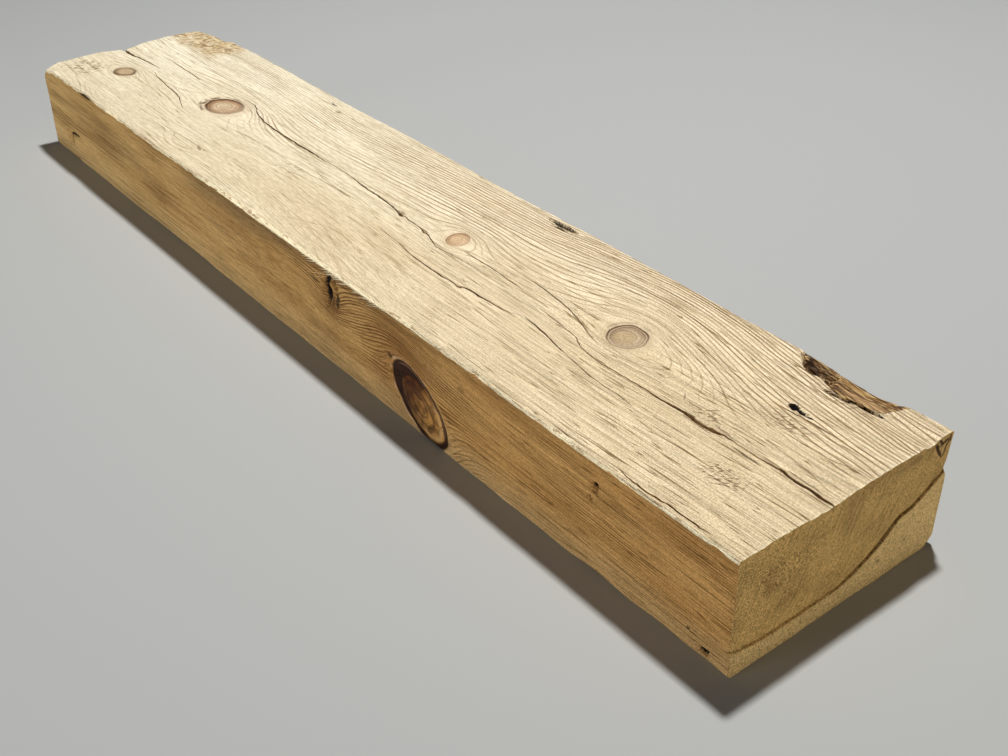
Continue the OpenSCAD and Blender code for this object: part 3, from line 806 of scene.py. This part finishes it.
def finish_mesh(rest, place, fields, faces, labels):
    """The plank's object, with the fields that its material reads"""
    mesh = bpy.data.meshes.new("timber")
    mesh.from_pydata((place * MM).tolist(), [], faces)
    fields.update(wood_fields(place), rest=rest)
    fields["slope"] = ring_slope(mesh, place, fields["ring"])
    for name, values in fields.items():
        store(mesh, name, "FLOAT_VECTOR" if name in ("rest", "grain") else "FLOAT", "POINT", values)
    store(mesh, "endgrain", "FLOAT", "FACE", np.isin(labels, ("near", "far")).astype(float))
    lay_out(mesh, rest, labels)
    mesh.polygons.foreach_set("use_smooth", np.ones(len(faces), bool))
    mesh.set_sharp_from_angle(angle=math.radians(SHARP_ANGLE))
    mesh.validate()
    piece = bpy.data.objects.new("timber", mesh)
    bpy.context.scene.collection.objects.link(piece)
    return piece


def store(mesh, name, kind, domain, values):
    layer = mesh.attributes.new(name, kind, domain)
    key = "vector" if kind == "FLOAT_VECTOR" else "value"
    layer.data.foreach_set(key, np.ravel(values).astype(np.float32))


def lay_out(mesh, rest, labels):
    """UV map: the long faces in strips, the two ends side by side above them"""
    strips = {}
    start = UV_MARGIN
    wide, narrow = (1, HALF_W, 2 * HALF_W), (2, 0.0, TOP)
    kinds = {"top": wide, "front": narrow, "back": narrow, "bottom": wide, "near": narrow}
    for name, (axis, shift, height) in kinds.items():
        strips[name] = (axis, start + shift)
        start += round(height) + UV_GAP
    strips["far"] = strips["near"]
    loops = np.zeros(len(mesh.loops), np.int32)
    mesh.loops.foreach_get("vertex_index", loops)
    sizes = np.zeros(len(mesh.polygons), np.int32)
    mesh.polygons.foreach_get("loop_total", sizes)
    label = np.repeat(labels, sizes)
    p = rest[loops]
    uv = np.zeros((len(loops), 2))
    for name, (axis, shift) in strips.items():
        pick = label == name
        u = p[pick, 0] + HALF_L + UV_MARGIN
        if name in ("near", "far"):
            u = p[pick, 1] + HALF_W + (UV_MARGIN if name == "near" else UV_FAR_END)
        uv[pick] = np.stack([u / UV_SHEET[0], (p[pick, axis] + shift) / UV_SHEET[1]], 1)
    layer = mesh.uv_layers.new(name="OFBake")
    layer.data.foreach_set("uv", uv.ravel().astype(np.float32))


class Graph:
    """Adds shader nodes and links them by socket or value"""

    def __init__(self, name):
        self.material = bpy.data.materials.new(name)
        self.material.use_nodes = True
        self.tree = self.material.node_tree
        self.tree.nodes.clear()

    def node(self, kind, inputs=(), out=0, **settings):
        node = self.tree.nodes.new("ShaderNode" + kind)
        for key, value in settings.items():
            setattr(node, key, value)
        pairs = inputs.items() if isinstance(inputs, dict) else enumerate(inputs)
        for key, value in pairs:
            if isinstance(value, bpy.types.NodeSocket):
                self.tree.links.new(value, node.inputs[key])
            else:
                node.inputs[key].default_value = value
        return node.outputs[out] if len(node.outputs) else None

    def value(self, name):
        return self.node("Attribute", attribute_name=name, out=2)

    def vector(self, name):
        return self.node("Attribute", attribute_name=name, out=1)

    def part(self, vector, axis):
        return self.node("SeparateXYZ", (vector,), out=axis)

    def math(self, operation, a, b=0.0):
        return self.node("Math", (a, b), operation=operation)

    def add(self, a, b):
        return self.math("ADD", a, b)

    def times(self, a, b):
        return self.math("MULTIPLY", a, b)

    def most(self, a, b):
        return self.math("MAXIMUM", a, b)

    def apart(self, a, level):
        """Distance of a value from a level"""
        return self.math("ABSOLUTE", self.add(a, -level))

    def vectors(self, operation, a, b):
        return self.node("VectorMath", (a, b), operation=operation)

    def scale(self, vector, factors):
        return self.vectors("MULTIPLY", vector, factors)

    def turn(self, vector, axis, angle):
        return self.node("VectorRotate", {"Vector": vector, "Axis": axis, "Angle": angle})

    def dot(self, a, b):
        return self.node("VectorMath", (a, b), operation="DOT_PRODUCT", out=1)

    def size(self, vector):
        return self.node("VectorMath", (vector,), operation="LENGTH", out=1)

    def noise(self, vector, detail=0.0, rough=0.5):
        settings = {"Vector": vector, "Scale": 1.0, "Detail": detail, "Roughness": rough}
        return self.node("TexNoise", settings)

    def cloud(self, vector, size):
        """Three noises in all directions, as a colour"""
        return self.node("TexNoise", {"Vector": vector, "Scale": 1 / size, "Detail": 0.0}, out=1)

    def shaken(self, vector, cloud, reach):
        """Places moved about by a cloud"""
        shift = self.scale(self.vectors("SUBTRACT", cloud, (0.5, 0.5, 0.5)), (reach, reach, reach))
        return self.vectors("ADD", vector, shift)

    def chance(self, value):
        """A random number for each whole part of a value"""
        return self.node("TexWhiteNoise", {"W": self.math("FLOOR", value)}, noise_dimensions="1D")

    def range(self, value, low, high, to_low=0.0, to_high=1.0):
        return self.node("MapRange", (value, low, high, to_low, to_high), interpolation_type="SMOOTHSTEP")

    def band(self, value, level, outer, inner=0.0, strength=1.0):
        """Full strength within the inner distance of a level, nothing past the outer one"""
        return self.range(self.apart(value, level), outer, inner, 0.0, strength)

    def mix(self, share, a, b, blend="MIX"):
        return self.node("Mix", {0: share, 6: a, 7: b}, out=2, data_type="RGBA", blend_type=blend)

    def paint(self, colour, *coats):
        """A colour under coats of (share, colour), one over the other"""
        for share, tint in coats:
            colour = self.mix(share, colour, tint)
        return colour

    def blend(self, share, a, b):
        return self.node("Mix", {0: share, 2: a, 3: b}, data_type="FLOAT")

    def curve(self, value, stops):
        ramp = self.tree.nodes.new("ShaderNodeValToRGB")
        ramp.color_ramp.elements[0].position = stops[0][0]
        ramp.color_ramp.elements[1].position = stops[-1][0]
        for place, _ in stops[1:-1]:
            ramp.color_ramp.elements.new(place)
        for element, (_, level) in zip(ramp.color_ramp.elements, stops):
            element.color = (level, level, level, 1.0)
        self.tree.links.new(value, ramp.inputs[0])
        return self.node("RGBToBW", (ramp.outputs[0],))


def srgb(red, green, blue):
    """Linear colour of an sRGB one"""
    parts = [c / 255.0 for c in (red, green, blue)]
    return tuple(c / 12.92 if c <= 0.04045 else ((c + 0.055) / 1.055) ** 2.4 for c in parts) + (1.0,)


# Colours of the wood; pairs are for the far and the near end. The top's paler, creamier far end is partly
# its own colour and partly painted sheen
TOP_LIGHT = (srgb(254, 243, 214), srgb(243, 222, 184))
TOP_MID = (srgb(238, 222, 188), srgb(224, 199, 156))
TOP_LINE = srgb(140, 97, 42)
# Fresh torn wood; also a painted highlight along the near end's top edge
FRESH_WOOD_AND_HIGHLIGHT = srgb(255, 238, 198)
SLIVER = srgb(232, 196, 138)
# Painted shadow in the gaps between torn fibres
GAP_SHADOW = srgb(80, 46, 16)
SPLIT = srgb(146, 92, 40)
SIDE_LIGHT = (srgb(230, 192, 126), srgb(216, 168, 100))
# Painted bounce light from the floor, with a painted highlight along the lower edge of the front
SIDE_BOUNCE_LIGHT = srgb(244, 214, 156)
SIDE_MID = (srgb(204, 160, 94), srgb(192, 140, 76))
SIDE_LINE = srgb(100, 58, 18)
END_LIGHT = srgb(232, 188, 112)
END_PALE = srgb(252, 212, 140)
END_LINE = srgb(140, 100, 48)
GREY = srgb(120, 98, 66)
STAIN = srgb(128, 76, 30)
ROT_PALE = srgb(222, 186, 128)
ROT_MID = srgb(150, 108, 58)
# Dark rot; also the painted shade in the cave of the rot pocket
ROT_DARK_AND_CAVE_SHADE = srgb(74, 42, 18)
DECAY_TAN = srgb(216, 182, 124)
DECAY_DARK = srgb(110, 72, 32)
# Painted shade inside checks, cracks and holes: brown, then near black with depth
CRACK_SHADE = srgb(146, 100, 52)
HOLE_SHADE = srgb(24, 14, 8)
MARK = srgb(82, 50, 22)
BARK_BROWN = srgb(104, 56, 20)
BARK_TAN = srgb(206, 150, 80)
BARK_GREY = srgb(104, 78, 48)
BARK_GOLD = srgb(220, 172, 108)
BARK_CREASE = srgb(176, 132, 104)
BARK_LIP = srgb(228, 196, 164)
# Drawing: ring spacing, leans of hairs, specks and saw marks, depth of a knot and of the bump in metres
RING_STEP = 3.0
HAIR_LEAN = math.radians(11.0)
SPECK_LEAN = math.radians(-38.0)
SAW_LEAN = math.radians(22.0)
KNOT_REACH = 60.0
BUMP_DEPTH = 0.0009
X_AXIS, Y_AXIS, Z_AXIS = (1.0, 0.0, 0.0), (0.0, 1.0, 0.0), (0.0, 0.0, 1.0)


def local_axes(face, centre, halves, far):
    """Centre, half sizes and turning axis of a shape drawn on one face, and the sense of its turn"""
    if face == "top":
        return (centre[0], centre[1], TOP), (halves[0], halves[1], far), Z_AXIS, -1.0
    if face == "front":
        return (centre[0], -HALF_W, centre[1]), (halves[0], far, halves[1]), Y_AXIS, 1.0
    return (HALF_L, centre[0], centre[1]), (far, halves[0], halves[1]), X_AXIS, -1.0


def radius_on(g, place, face, centre, halves, turn, far=KNOT_REACH):
    """Distance from the centre of a turned ellipse on a face, 1 on its edge, and the place in it"""
    middle, sizes, axis, sense = local_axes(face, centre, halves, far)
    local = g.vectors("SUBTRACT", place, middle)
    if turn:
        local = g.turn(local, axis, math.radians(sense * turn))
    local = g.scale(local, tuple(1.0 / size for size in sizes))
    return g.size(local), local


def draw_knot(g, place, knot, colour, broken, patchy):
    """Round knot: ringed body with a paler middle, a rim darker on one side, and a torn outer ring"""
    radius, local = radius_on(g, place, knot["face"], knot["at"], knot["half"], knot["turn"])
    rim_tint, tint, pale, middle = (srgb(*knot[key]) for key in ("rim", "tint", "pale", "heart"))
    outer = knot["outer"]
    toward = g.dot(local, (*knot["dark"], 0.0))
    one_side = g.range(toward, -0.7, 0.5, 0.45, 1.0)
    heart = g.size(g.vectors("SUBTRACT", local, (-0.1, -0.16, 0.0)))
    rings = g.range(g.math("SINE", g.times(radius, 31.0)), -0.2, 1.0, 0.0, 0.16 + 0.22 * outer)
    rings = g.most(rings, g.times(broken, 0.2 + 0.24 * outer))
    rings = g.most(g.times(g.band(heart, 0.58, 0.07, 0.0, 0.6), one_side), rings)
    body = g.paint(pale, (g.times(g.range(radius, 0.4, 0.8), one_side), tint),
                   (g.range(heart, 0.62, 0.5, 0.0, 0.6), middle), (rings, rim_tint),
                   (g.band(radius, 0.92, 0.05, 0.0, 0.6), pale))
    inner = g.range(radius, 1.03, 0.95)
    colour = g.paint(colour, (g.range(radius, 1.7, 1.0, 0.0, 0.3), tint), (inner, body))
    rim = g.most(g.band(radius, 1.0, knot["rim_width"], 0.02), g.band(radius, 0.84, 0.05, 0.0, 0.6))
    dark = g.times(g.times(rim, one_side), knot["rim_share"])
    if outer:
        torn_ring = g.times(g.band(radius, 1.24, 0.12, 0.03, outer), patchy)
        dark = g.most(dark, g.times(torn_ring, g.range(toward, -0.2, 0.5)))
    return g.mix(dark, colour, rim_tint), inner


def draw_bark_knot(g, place, knot, colour, patchy):
    """Big slanting knot with a bark ring that is thick at one end"""
    radius, local = radius_on(g, place, knot["face"], knot["at"], knot["half"], knot["turn"])
    along_knot, over_knot = g.part(local, 0), g.part(local, 2)
    bark = srgb(*knot["rim"])
    rings = g.range(g.math("SINE", g.times(radius, 27.0)), 0.0, 1.0, 0.0, 0.5)
    gold = g.times(g.band(radius, 0.78, 0.1, 0.02, 0.85), g.range(along_knot, 0.1, 0.5))
    inner_edge = g.range(along_knot, -0.8, 0.1, 0.62, 0.87)
    ring = g.range(g.math("SUBTRACT", radius, inner_edge), -0.03, 0.04)
    crease = g.times(g.band(radius, 0.93, 0.03, 0.0, 0.6), g.range(over_knot, 0.1, 0.6))
    body = g.paint(BARK_BROWN, (g.range(along_knot, -0.4, 0.4), BARK_TAN),
                   (g.times(g.range(over_knot, 0.2, -0.5), 0.5), BARK_GREY), (g.times(patchy, 0.55), bark),
                   (rings, bark), (gold, BARK_GOLD), (ring, bark), (crease, BARK_CREASE))
    lip = g.times(g.band(radius, 1.07, 0.05, 0.0, 0.6), patchy)
    lip = g.times(lip, g.range(along_knot, 0.6, -0.2, 0.3, 1.0))
    return g.paint(colour, (g.range(radius, 1.05, 0.99), body), (lip, BARK_LIP))


def hair_line(g, place, long, wide, dark, light):
    """Thin dark lines along the grain with a light lip of painted highlight beside each, where a sheared
    noise crosses its middle
    """
    run = g.dot(place, (1 / long, 13 / long, 11 / long))
    across, up = (g.times(g.part(place, axis), 1 / wide) for axis in (1, 2))
    off = g.add(g.noise(g.node("CombineXYZ", (run, across, up))), -0.5)
    return g.add(g.band(off, 0.0, 0.034, 0.0, -dark), g.band(off, 0.075, 0.045, 0.0, light))


def read_fields(g):
    """Sockets of the fields that the mesh stores, and of those that follow from the place alone"""
    w = SimpleNamespace(rest=g.vector("rest"), grain=g.vector("grain"))
    for name in ("ring", "slope", "tear", "share", "slant", "wake", "deep", "rot", "decay", "cave",
                 "tone", "fade", "stain", "weather", "speck", "worn", "endgrain"):
        setattr(w, name, g.value(name))
    w.length = g.part(w.rest, 0)
    w.nearness = g.range(w.length, -700.0, 700.0)
    w.below = g.math("SUBTRACT", TOP, g.part(w.rest, 2))
    return w


def fine_noise(g, w):
    """Fibres and thin hairs along the grain, grit and lumps in all directions"""
    w.fibre = g.noise(g.scale(w.grain, (1 / 50, 1 / 2.3, 1 / 2.3)))
    leaning = g.turn(w.rest, Z_AXIS, HAIR_LEAN)
    near_hair = hair_line(g, w.grain, 130.0, 2.5, 0.64, 0.12)
    near_hair = g.blend(w.slant, near_hair, hair_line(g, leaning, 60.0, 2.5, 0.5, 0.1))
    hair = g.blend(w.nearness, hair_line(g, w.grain, 240.0, 3.6, 0.35, 0.07), near_hair)
    w.hair = g.times(hair, g.range(w.wake, 0.0, 1.0, 1.0, 0.15))
    w.grit, w.lump = g.cloud(w.rest, 1.5), g.cloud(w.rest, 13.0)
    w.grit_x = g.part(w.grit, 0)
    far_grit = g.noise(g.scale(w.grain, (1 / 11, 1 / 2.6, 1 / 2.6)))
    w.grit_y = g.blend(w.nearness, far_grit, g.part(w.grit, 1))
    w.rot_tone = g.noise(g.scale(w.grain, (1 / 22, 1 / 2.6, 1 / 2.6)), detail=1, rough=0.65)


def edge_tears(g, w):
    """Fibres torn out along the front edge: the side below them, fresh wood, painted shadow in the gaps
    between them and a thin split
    """
    turn = g.math("FRACT", w.tear)
    reach = g.times(g.curve(turn, TEAR_LINE), g.range(g.chance(w.tear), 0.0, 1.0, 0.3, 1.5))
    waver = g.add(w.below, g.add(g.times(w.rot_tone, 6.0), g.times(w.grit_x, 0.9)))
    split = g.times(g.band(waver, RIM + 1.4, 0.9, 0.2), g.range(w.share, 0.0, 0.2))
    w.split = g.times(split, g.range(g.part(w.lump, 1), 0.46, 0.6))
    torn_off = g.range(g.math("SUBTRACT", w.share, reach), -0.08, 0.08)
    w.side = g.times(torn_off, g.range(waver, RIM + 3.3, RIM + 4.3))
    # Painted shadow in the gaps between the torn fibres
    w.spike = g.times(g.range(g.apart(turn, 0.5), 0.26, 0.46), g.range(w.share, 1.7, 0.4))
    w.fresh = g.times(g.math("SUBTRACT", 1.0, w.side), g.range(w.share, 0.0, 0.1))


def ring_lines(g, w):
    """Growth rings as thin lines of uneven strength, and threads along the grain"""
    phase = g.math("DIVIDE", g.add(w.ring, g.times(g.times(w.grit_x, w.slope), 0.5)), RING_STEP)
    aside = g.times(g.apart(g.math("FRACT", phase), 0.5), RING_STEP)
    pulse = g.range(g.math("DIVIDE", aside, w.slope), g.blend(w.nearness, 1.8, 1.3), 0.25)
    lines = g.times(pulse, g.range(g.chance(phase), 0.0, 1.0, 0.5, 1.0))
    w.lines = g.times(lines, g.times(w.fade, g.range(w.slope, 0.05, 0.2)))
    w.threads = g.times(g.range(w.fibre, 0.33, 0.28), g.range(w.wake, 0.0, 1.0, 1.0, 0.1))


def plain_wood(g, w):
    """Colour of the top, the sides and the ends without knots, rot and holes, with painted shadow in the
    torn edge's gaps, a painted highlight at the near end and painted bounce light low on the front
    """
    sliver = g.paint(FRESH_WOOD_AND_HIGHLIGHT, (g.range(w.below, 4.0, 15.0), SLIVER), (g.times(w.split, 0.6), SPLIT))
    # Paler and creamier towards the far end: partly the wood's own colour, partly painted sheen
    top = g.mix(w.tone, g.mix(w.nearness, *TOP_LIGHT), g.mix(w.nearness, *TOP_MID))
    # A thin band at the near end is a painted highlight along its top edge, in the fresh colour
    top = g.paint(top, (g.times(w.lines, 0.88), TOP_LINE),
                  (g.range(w.length, HALF_L - 3.0, HALF_L - 0.5, 0.0, 0.45), FRESH_WOOD_AND_HIGHLIGHT),
                  (g.times(w.threads, g.blend(w.nearness, 0.04, 0.2)), TOP_LINE), (w.fresh, sliver))
    sides = g.mix(w.tone, g.mix(w.nearness, *SIDE_LIGHT), g.mix(w.nearness, *SIDE_MID))
    # Painted shadow in the gaps between torn fibres, and painted bounce light with a painted highlight low
    # on the front
    sides = g.paint(sides, (g.times(w.lines, 0.9), SIDE_LINE),
                    (g.times(w.threads, g.blend(w.nearness, 0.2, 0.3)), SIDE_LINE),
                    (g.times(w.stain, 0.4), STAIN), (g.times(w.weather, 0.45), GREY),
                    (g.times(w.spike, 0.75), GAP_SHADOW), (w.worn, SIDE_BOUNCE_LIGHT))
    sawn = g.noise(g.scale(g.turn(w.rest, X_AXIS, SAW_LEAN), (1.0, 1 / 2.2, 1 / 70)))
    ends = g.paint(END_LIGHT, (g.times(w.lines, 0.8), END_LINE),
                   (g.range(sawn, 0.42, 0.3, 0.0, 0.38), END_LINE), (w.worn, END_PALE))
    return g.paint(top, (w.side, sides), (w.endgrain, ends))


def draw_knots(g, w, colour):
    """All knots, with lumpy outlines; also returns where they are"""
    lumpy = g.shaken(w.rest, w.lump, 2.4)
    broken = g.range(w.grit_x, 0.48, 0.68)
    patchy = g.range(g.part(w.lump, 2), 0.42, 0.58)
    knotted = 0.0
    for knot in KNOTS:
        colour, inner = draw_knot(g, lumpy, knot, colour, broken, patchy)
        knotted = g.most(knotted, inner)
    return draw_bark_knot(g, lumpy, BARK_KNOT, colour, patchy), knotted


def fine_shade(g, w, knotted):
    """Fine light and dark, warmer where darker"""
    plain = g.math("SUBTRACT", 1.0, knotted)
    far_grit, near_grit = (g.range(w.grit_y, 0.3, 0.7, *ends) for ends in ((0.94, 1.05), (0.85, 1.13)))
    shade = g.blend(w.nearness, far_grit, near_grit)
    hairs = g.times(w.hair, g.times(plain, g.blend(w.side, 1.1, 0.9)))
    lined = g.blend(w.side, g.range(w.fade, 0.5, 0.95, 1.0, 1.07), 1.0)
    fibres = g.blend(plain, 1.0, g.range(w.fibre, 0.3, 0.7, 0.94, 1.05))
    by_face = g.blend(w.endgrain, lined, g.range(w.grit_x, 0.3, 0.7, 0.83, 1.15))
    for factor in (g.add(hairs, 1.0), by_face, fibres):
        shade = g.times(shade, factor)
    return g.node("CombineXYZ", (shade, g.math("POWER", shade, 1.12), g.math("POWER", shade, 1.4)))


def draw_rot(g, w, ragged, colour):
    """Rot pocket with painted shade in its cave, rotted far corner and torn specks"""
    rotten = g.paint(ROT_DARK_AND_CAVE_SHADE, (g.range(w.rot_tone, 0.38, 0.50), ROT_MID),
                     (g.range(w.rot_tone, 0.52, 0.61), ROT_PALE))
    for centre, halves, turn, strength, tint in ROT_STREAKS:
        radius, _ = radius_on(g, ragged, "top", centre, halves, turn)
        rotten = g.mix(g.range(radius, 1.2, 0.6, 0.0, strength), rotten, srgb(*tint))
    # Painted shade in the cave
    rotten = g.mix(g.times(w.cave, 0.6), rotten, ROT_DARK_AND_CAVE_SHADE)
    crosswise = g.turn(w.rest, Z_AXIS, SPECK_LEAN)
    far_chip, near_chip = (g.noise(g.scale(crosswise, (1 / long, 1 / wide, 1 / wide)))
                           for long, wide in ((9.0, 3.2), (5.0, 1.7)))
    chip = g.blend(w.nearness, far_chip, near_chip)
    decay_speck = g.times(g.range(chip, 0.52, 0.4), w.decay)
    torn_speck = g.times(g.range(chip, 0.43, 0.35), w.speck)
    return g.paint(colour, (g.times(w.rot, 0.95), rotten), (g.times(w.decay, 0.75), DECAY_TAN),
                   (g.times(decay_speck, 0.75), DECAY_DARK), (g.times(torn_speck, 0.85), DECAY_DARK))


def draw_holes(g, w, ragged, colour):
    """Painted shade in cracks and holes, darker with depth, and dark spots, black as painted shade in holes
    where strong on the top and front
    """
    # Painted shade in the checks, shake and end cracks, by the darkness stored with each point
    colour = g.paint(colour, (g.range(w.deep, 0.05, 0.5), CRACK_SHADE), (g.range(w.deep, 0.4, 1.0), HOLE_SHADE))
    for face, spots in SPOTS.items():
        for centre, halves, turn, strength in spots:
            radius, _ = radius_on(g, ragged, face, centre, halves, turn, SPOT_DEPTH)
            tint = HOLE_SHADE if strength >= HOLE_STRENGTH and face != "end" else MARK
            colour = g.mix(g.range(radius, 1.15, 0.75, 0.0, strength), colour, tint)
    return colour


def timber_material():
    g = Graph("old_timber")
    w = read_fields(g)
    fine_noise(g, w)
    edge_tears(g, w)
    ring_lines(g, w)
    ragged = g.shaken(g.shaken(w.rest, w.lump, 2.6), w.grit, 2.2)
    colour, knotted = draw_knots(g, w, plain_wood(g, w))
    colour = g.mix(1.0, colour, fine_shade(g, w, knotted), "MULTIPLY")
    colour = draw_holes(g, w, ragged, draw_rot(g, w, ragged, colour))
    height = g.add(g.add(g.times(w.lines, -0.7), w.fibre), g.times(w.hair, 0.8))
    height = g.add(height, g.times(g.times(w.rot, w.rot_tone), 6.0))
    bump = g.node("Bump", {"Strength": 1.0, "Distance": BUMP_DEPTH, "Height": height})
    rough = g.range(w.fibre, 0.2, 0.8, 0.92, 0.75)
    gloss = g.range(w.deep, 0.0, 0.5, 0.22, 0.0)
    shader = g.node("BsdfPrincipled", {"Base Color": colour, "Roughness": rough, "Normal": bump,
                                       "Specular IOR Level": gloss})
    g.node("OutputMaterial", {"Surface": shader})
    return g.material


# Stage in metres: floor, lamps (name, place, point lit, size, power) and the light all round
FLOOR_COLOUR = srgb(184, 185, 182)
FLOOR_SIZE = 10.0
LAMPS = [("key", (-0.1, 0.85, 4.1), (0, 0, 0), 0.3, 172.0),
         ("front_fill", (-1.0, -8.0, 0.45), (0, 0, 0.05), 2.4, 276.0),
         ("end_fill", (8.0, -1.5, 0.45), (0.7, 0, 0.05), 2.4, 153.0)]
WORLD_LIGHT = 0.05
SENSOR = 36.0


def make_floor():
    bpy.ops.mesh.primitive_plane_add(size=FLOOR_SIZE)
    floor = bpy.context.object
    floor.name = "floor"
    g = Graph("floor")
    shader = g.node("BsdfPrincipled", {"Base Color": FLOOR_COLOUR, "Roughness": 0.85})
    g.node("OutputMaterial", {"Surface": shader})
    floor.data.materials.append(g.material)


def add_lamp(name, place, target, size, power):
    lamp = bpy.data.lights.new(name, "AREA")
    lamp.shape = "DISK"
    lamp.size = size
    lamp.energy = power
    holder = bpy.data.objects.new(name, lamp)
    holder.location = place
    holder.rotation_euler = (Vector(target) - Vector(place)).to_track_quat("-Z", "Y").to_euler()
    holder.visible_camera = False
    bpy.context.scene.collection.objects.link(holder)


def make_lights():
    for name, place, target, size, power in LAMPS:
        add_lamp(name, place, target, size, power)
    world = bpy.data.worlds.new("soft")
    world.use_nodes = True
    background = world.node_tree.nodes["Background"]
    background.inputs[0].default_value = (1, 1, 1, 1)
    background.inputs[1].default_value = WORLD_LIGHT
    bpy.context.scene.world = world


def make_camera():
    azimuth, elevation = math.radians(AZIMUTH), math.radians(ELEVATION)
    level = math.cos(elevation)
    forward = Vector((-math.sin(azimuth) * level, math.cos(azimuth) * level, -math.sin(elevation)))
    right = forward.cross(Vector((0, 0, 1))).normalized()
    right.rotate(Matrix.Rotation(math.radians(-ROLL), 3, forward))
    up = right.cross(forward)
    turn = Matrix((right, up, -forward)).transposed().to_4x4()
    data = bpy.data.cameras.new("camera")
    data.sensor_fit = "HORIZONTAL"
    data.sensor_width = SENSOR
    data.lens = SENSOR * FOCAL
    camera = bpy.data.objects.new("camera", data)
    camera.matrix_world = Matrix.Translation(EYE) @ turn
    bpy.context.scene.collection.objects.link(camera)
    bpy.context.scene.camera = camera


plank = make_plank()
plank.data.materials.append(timber_material())
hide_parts("plank")
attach(plank, "root")
make_floor()
make_lights()
make_camera()
bpy.context.scene.view_settings.view_transform = "Standard"
